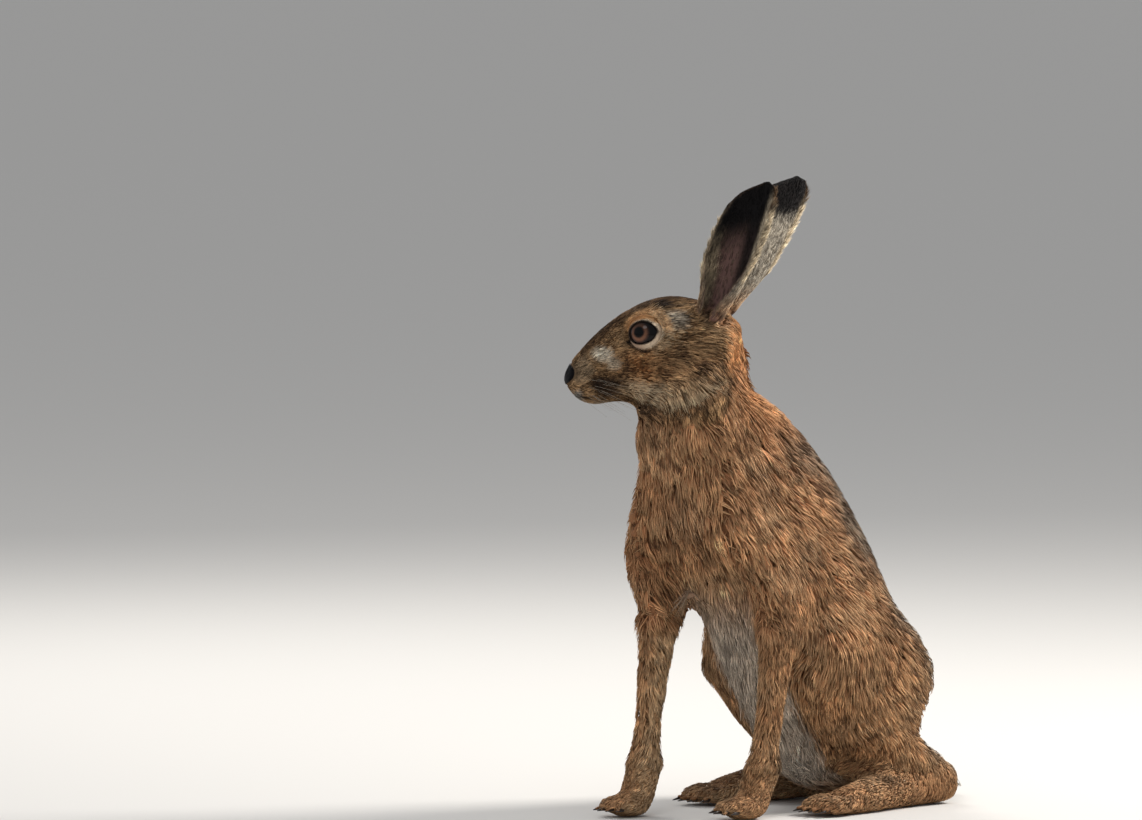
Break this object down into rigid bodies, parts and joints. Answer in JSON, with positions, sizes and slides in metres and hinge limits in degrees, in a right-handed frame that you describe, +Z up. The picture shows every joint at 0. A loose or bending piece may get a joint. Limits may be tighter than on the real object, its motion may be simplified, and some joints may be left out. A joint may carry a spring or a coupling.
{
  "type": "brown hare",
  "caption": "Still, life-size brown hare sitting upright on its haunches with straight forelegs, head turned to its right and long ears raised.",
  "frame": {"origin": "on the ground under the middle of the animal's outer box", "axes": "+Z up, the trunk faces -X, the animal's left side is -Y, and the head is turned towards +Y"},
  "size_m": [0.2906, 0.1526, 0.4148],
  "materials": {
    "coat_russet": "short dense fur, rusty orange-brown with dark tips",
    "coat_back": "short dense fur, grizzled black, brown and grey",
    "coat_face": "very short fur, grizzled buff and brown",
    "coat_white": "soft white fur",
    "ear": "thin skin with velvety fur, black at the tip",
    "eye": "wet glossy eyeball, amber-brown with a black pupil",
    "nose": "moist dark skin",
    "claw": "smooth dark horn",
    "whisker": "fine stiff hair"
  },
  "bodies": {
    "root": {"head": "coat_face", "neck": "coat_russet", "chest": "coat_russet", "loin": "coat_back", "rump": "coat_back", "tail": "coat_white", "upper_arm_left": "coat_russet", "forearm_left": "coat_russet", "forepaw_left": "coat_russet", "thigh_left": "coat_russet", "shank_left": "coat_russet", "hind_foot_left": "coat_russet", "ear_left": "ear", "eye_left": "eye", "upper_arm_right": "coat_russet", "forearm_right": "coat_russet", "forepaw_right": "coat_russet", "thigh_right": "coat_russet", "shank_right": "coat_russet", "hind_foot_right": "coat_russet", "ear_right": "ear", "eye_right": "eye"}
  },
  "joints": []
}
